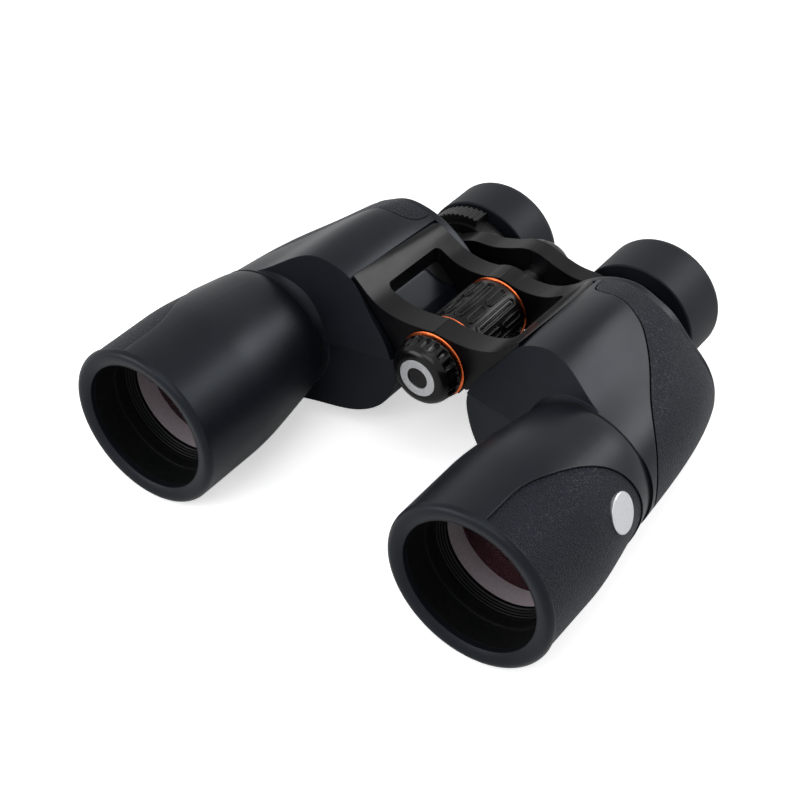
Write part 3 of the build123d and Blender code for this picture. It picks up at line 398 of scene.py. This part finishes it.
# each objective is one cemented doublet: clear coated front, frosted edge, dark red back
edge_under_cell = 1.1 * mm
front_bow = 2.6 * mm
back_bow = 1.2 * mm
for half in halves:
    crown_low, crown_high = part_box(half + "_objective_crown_lens")
    flint_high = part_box(half + "_objective_flint_lens")[1]
    axis = (crown_low + crown_high) / 2
    lens_radius = (crown_high.x - crown_low.x) / 2 - edge_under_cell
    front_rim = crown_low.y + 0.3 * mm + front_bow
    back_rim = flint_high.y - 1.4 * mm
    outline = bowed(front_rim, lens_radius, -front_bow)[::-1]
    outline += bowed(back_rim, lens_radius, -back_bow)
    lens = close_up(turned(half + "_objective_doublet", axis, outline), 50)
    lens.data.materials.append(front_coating)
    lens.data.materials.append(frosted_edge)
    lens.data.materials.append(red_coating)
    for face in lens.data.polygons:
        if abs(face.normal.y) > 0.7:
            face.material_index = 0 if face.normal.y < 0 else 2
        else:
            face.material_index = 1
    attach(lens, half + "_half")
    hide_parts(half + "_objective_crown_lens", half + "_objective_flint_lens")

# screwed ring that holds each doublet, with its fine thread lines
thread_lines = 4
thread_pitch = 0.85 * mm
line_step = 0.5 * mm
crest_width = 0.6 * mm
ring_wall = 2.7 * mm
for half in halves:
    low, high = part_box(half + "_objective_retaining_ring")
    axis = (low + high) / 2
    outer = (high.x - low.x) / 2 - 0.1 * mm
    inner = outer - ring_wall
    outline = [(high.y, inner + 0.1 * mm), (high.y, outer), (low.y + 0.2 * mm, outer)]
    for i in range(thread_lines):
        crest = low.y + 0.3 * mm + thread_pitch * i
        radius = outer - 0.7 * mm - line_step * i
        outline += [(crest, radius), (crest + crest_width, radius - 0.02 * mm)]
    outline += [(high.y - 0.4 * mm, inner), outline[0]]
    ring = close_up(turned(half + "_threaded_ring", axis, outline), 20)
    dress(ring, thread_black, half + "_half")
    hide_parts(half + "_objective_retaining_ring")

# painted shade: a black low bead where each barrel's sleeve meets the housing's neck, standing in for the
# shade in the joint's groove
line_width = 0.4 * mm
line_height = 0.3 * mm
for half in halves:
    sleeve = nodes[half + "_barrel_armour"]
    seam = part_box(half + "_barrel_armour")[1].y
    axis = middle_of(half + "_barrel")
    skin = max((corner.co - axis).xz.length for corner in sleeve.data.vertices
               if corner.co.y > seam - 0.02 * mm)
    foot = skin - 0.5 * mm
    top = skin + line_height
    outline = [(seam - line_width, foot), (seam - line_width, skin + line_height / 2),
               (seam - line_width / 2, top), (seam + line_width / 2, top),
               (seam + line_width, foot), (seam - line_width, foot)]
    line = close_up(turned(half + "_painted_seam_shade", axis, outline, 160), 20)
    dress(line, thread_black, half + "_half")

# focus wheel: a drum with raised capsule loops, long and short by turns
low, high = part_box("focus_wheel")
hinge = middle_of("focus_wheel")
wheel_radius = (high.z - low.z) / 2
drum_radius = wheel_radius - 0.75 * mm
bore = 3.4 * mm
edge_radius = drum_radius - 0.9 * mm
chamfer_radius = drum_radius - 0.2 * mm
drum = turned("looped_focus_wheel", hinge, [
    (low.y, bore), (low.y, edge_radius), (low.y + 0.5 * mm, chamfer_radius), (low.y + 1.4 * mm, drum_radius),
    (high.y - 1.4 * mm, drum_radius), (high.y - 0.5 * mm, chamfer_radius), (high.y, edge_radius),
    (high.y, bore), (low.y, bore)])
close_up(drum)


cord_width = 0.95 * mm


def capsule_loop(length, width, middle_y):
    """Raised closed loop lying along the drum's top: a ring whose two halves are drawn apart."""
    ring = (width - cord_width) / 2
    top = hinge.z + drum_radius + 0.08 * mm
    loop = begin("loop", bpy.ops.mesh.primitive_torus_add, major_radius=ring, minor_radius=0.48 * mm,
                 major_segments=20, minor_segments=8, location=(hinge.x, middle_y, top))
    stretch = (length - width) / 2
    for way in (1, -1):
        choose(loop, lambda place, way=way: way * (place.y - middle_y) > 0.0001 * mm)
        bpy.ops.transform.translate(value=(0, way * stretch, 0))
    return close_up(loop, 60)


def rounded_bar(length, width, middle_y):
    """Raised bar with round ends along the drum's top."""
    top = hinge.z + drum_radius + 0.1 * mm
    bar = begin("bar", bpy.ops.mesh.primitive_uv_sphere_add, radius=width / 2, segments=12, ring_count=8,
                location=(hinge.x, middle_y, top), rotation=(pi / 2, 0, 0))
    for way in (1, -1):
        choose(bar, lambda place, way=way: way * (place.y - middle_y) > 0.0001 * mm)
        bpy.ops.transform.translate(value=(0, way * (length - width) / 2, 0))
    return close_up(bar, 60)


# long loops with a bar inside take turns with pairs of short loops
columns = 16
long_width = 4.3 * mm
short_width = 3.6 * mm
gap_between = 1.2 * mm
column_length = high.y - low.y - 4.6 * mm
bar_length = column_length - 4.6 * mm
short_length = (column_length - gap_between) / 2
short_place = (short_length + gap_between) / 2
long_column = [capsule_loop(column_length, long_width, hinge.y), rounded_bar(bar_length, cord_width, hinge.y)]
short_column = [capsule_loop(short_length, short_width, hinge.y + way * short_place) for way in (1, -1)]
raised = []
for i in range(columns):
    step = Matrix.Rotation(2 * pi * i / columns, 4, "Y")
    around = Matrix.Translation(hinge) @ step @ Matrix.Translation(-hinge)
    for original in (long_column, short_column)[i % 2]:
        copy = bpy.data.objects.new(original.name, original.data.copy())
        copy.data.transform(around)
        scene.collection.objects.link(copy)
        raised.append(copy)
bpy.ops.object.select_all(action="DESELECT")
for original in long_column + short_column:
    original.select_set(True)
bpy.ops.object.delete()
joined([drum] + raised)
dress(drum, wheel_black, "focus_wheel")
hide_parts("focus_wheel")

# front cap: smooth rounded shoulder round the badge, then flutes that deepen towards the rear
low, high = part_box("tripod_cap")
cap_axis = middle_of("tripod_cap")
cap_radius = (high.z - low.z) / 2
badge_low, badge_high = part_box("cap_badge")
seat = (badge_high.z - badge_low.z) / 2 + 0.1 * mm
cap_sides = 160
cap_flutes = 20
hollow = low.y + 2.2 * mm
flute_front = low.y + 4.0 * mm
flute_rear = high.y - 0.8 * mm
cap = turned("fluted_cap", cap_axis, [
    (hollow, 0.2 * mm), (badge_high.y, 0.3 * mm), (badge_high.y, seat), (low.y, seat + 0.1 * mm),
    (low.y, seat + 1.2 * mm), (low.y + 0.25 * mm, cap_radius - 3.4 * mm),
    (low.y + 0.8 * mm, cap_radius - 2.4 * mm), (low.y + 1.6 * mm, cap_radius - 1.65 * mm),
    (low.y + 2.5 * mm, cap_radius - 1.2 * mm), (low.y + 2.8 * mm, cap_radius - 1.0 * mm),
    (flute_front, cap_radius - 0.7 * mm), (flute_rear, cap_radius - 0.15 * mm),
    (high.y - 0.5 * mm, cap_radius), (high.y - 0.15 * mm, cap_radius), (high.y, cap_radius - 0.3 * mm),
    (high.y, cap_radius - 3.0 * mm), (hollow, cap_radius - 3.2 * mm), (hollow, 0.2 * mm)], cap_sides)


def in_flute(place, depth, spread):
    """True within spread sides of the middle of a flute, on the outer ring of corners at this depth."""
    if abs(place.y - depth) > 0.05 * mm or (place - cap_axis).xz.length < cap_radius - 2.5 * mm:
        return False
    step = round(atan2(place.z - cap_axis.z, place.x - cap_axis.x) / (2 * pi) * cap_sides)
    pitch = cap_sides // cap_flutes
    return min(step % pitch, -step % pitch) <= spread


for depth, fullness in ((flute_front, 0.75), (flute_rear, 1.0)):
    for spread, scoop in ((3, 0.015), (2, 0.035), (1, 0.04)):
        choose(cap, lambda place: in_flute(place, depth, spread))
        share = 1 - scoop * fullness
        middle = (cap_axis.x, depth, cap_axis.z)
        bpy.ops.transform.resize(value=(share, 1, share), center_override=middle)
close_up(cap, 28)
dress(cap, gloss_black, "tripod_cap")
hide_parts("tripod_cap")



ring_thickness = 0.6 * mm
ring_bevel = 0.18 * mm


def trim_ring(name, axis, front, bore, outer):
    """Thin orange disc with a rounded outer edge, its front face at depth front."""
    back = front + ring_thickness
    ring = turned(name, axis, [
        (front, bore), (front, outer - ring_bevel), (front + ring_bevel, outer), (back - ring_bevel, outer),
        (back, outer - ring_bevel), (back, bore), (front, bore)], 128)
    return close_up(ring, 50)


# narrow orange rings: one behind the front cap, one at each end of the focus wheel
low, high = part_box("cap_ring")
outer = (high.z - low.z) / 2 - 0.25 * mm
ring = trim_ring("orange_cap_ring", cap_axis, high.y - ring_thickness, 8.2 * mm, outer)
dress(ring, copper, "right_half")
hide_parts("cap_ring")
low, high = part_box("wheel_rings")
wheel_low, wheel_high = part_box("focus_wheel")
outer = (high.z - low.z) / 2 - 0.15 * mm
rings = joined([trim_ring("orange_wheel_rings", hinge, front, outer - 2.3 * mm, outer)
                for front in (wheel_low.y - ring_thickness, wheel_high.y)])
dress(rings, copper, "focus_wheel")
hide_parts("wheel_rings")

# ---------------------------------------------------------------- table, light and surroundings
bpy.ops.mesh.primitive_plane_add(size=6.0, location=(0, 0, 0))
table = bpy.context.object
table.name = "table"
camera_glow = 0.55
table_finish, tree, shader, place = new_finish("pale_table")
set_shader(shader, Base_Color=linear("#f4f4f4"), Roughness=0.9, IOR=1.2)
path = add_node(tree, "ShaderNodeLightPath", {}, {}).outputs["Is Camera Ray"]
glow = add_node(tree, "ShaderNodeEmission", {}, {"Strength": camera_glow}).outputs["Emission"]
nothing = add_node(tree, "ShaderNodeEmission", {}, {"Strength": 0.0}).outputs["Emission"]
lit = add_node(tree, "ShaderNodeMixShader", {}, {"Fac": path, 1: nothing, 2: glow}).outputs["Shader"]
total = add_node(tree, "ShaderNodeAddShader", {}, {0: shader.outputs["BSDF"], 1: lit}).outputs["Shader"]
tree.links.new(total, tree.nodes["Material Output"].inputs["Surface"])
table.data.materials.append(table_finish)

world = bpy.data.worlds.new("studio")
scene.world = world
world.use_nodes = True
tree = world.node_tree
rays = add_node(tree, "ShaderNodeLightPath", {}, {})
seen = add_node(tree, "ShaderNodeMath", {"operation": "MAXIMUM"},
                {0: rays.outputs["Is Camera Ray"], 1: rays.outputs["Is Glossy Ray"]}).outputs[0]
seen = add_node(tree, "ShaderNodeMath", {"operation": "MAXIMUM"},
                {0: seen, 1: rays.outputs["Is Transmission Ray"]}).outputs[0]
tree.links.new(span(tree, seen, 0.45, 1.0), tree.nodes["Background"].inputs["Strength"])
tree.nodes["Background"].inputs["Color"].default_value = (1, 1, 1, 1)


def softbox(name, place, target, width, height, power):
    """A large even lamp turned towards a point."""
    lamp = bpy.data.lights.new(name, "AREA")
    lamp.shape = "RECTANGLE"
    lamp.size = width
    lamp.size_y = height
    lamp.energy = power
    stand = bpy.data.objects.new(name, lamp)
    stand.location = place
    stand.rotation_euler = (Vector(target) - Vector(place)).to_track_quat("-Z", "Y").to_euler()
    scene.collection.objects.link(stand)


softbox("back_softbox", (0.58, 0.84, 0.7), (0, 0, 0.04), width=0.55, height=0.45, power=7.0)
softbox("overhead_softbox", (0.1, -0.1, 1.15), (0, 0, 0), width=0.7, height=0.7, power=2.5)
softbox("floor_softbox", (0.05, -0.55, 0.55), (0.02, -0.2, 0), width=0.5, height=0.4, power=1.6)
softbox("front_softbox", (-0.7, -0.95, 0.45), (0, 0, 0.03), width=0.7, height=0.6, power=6.0)
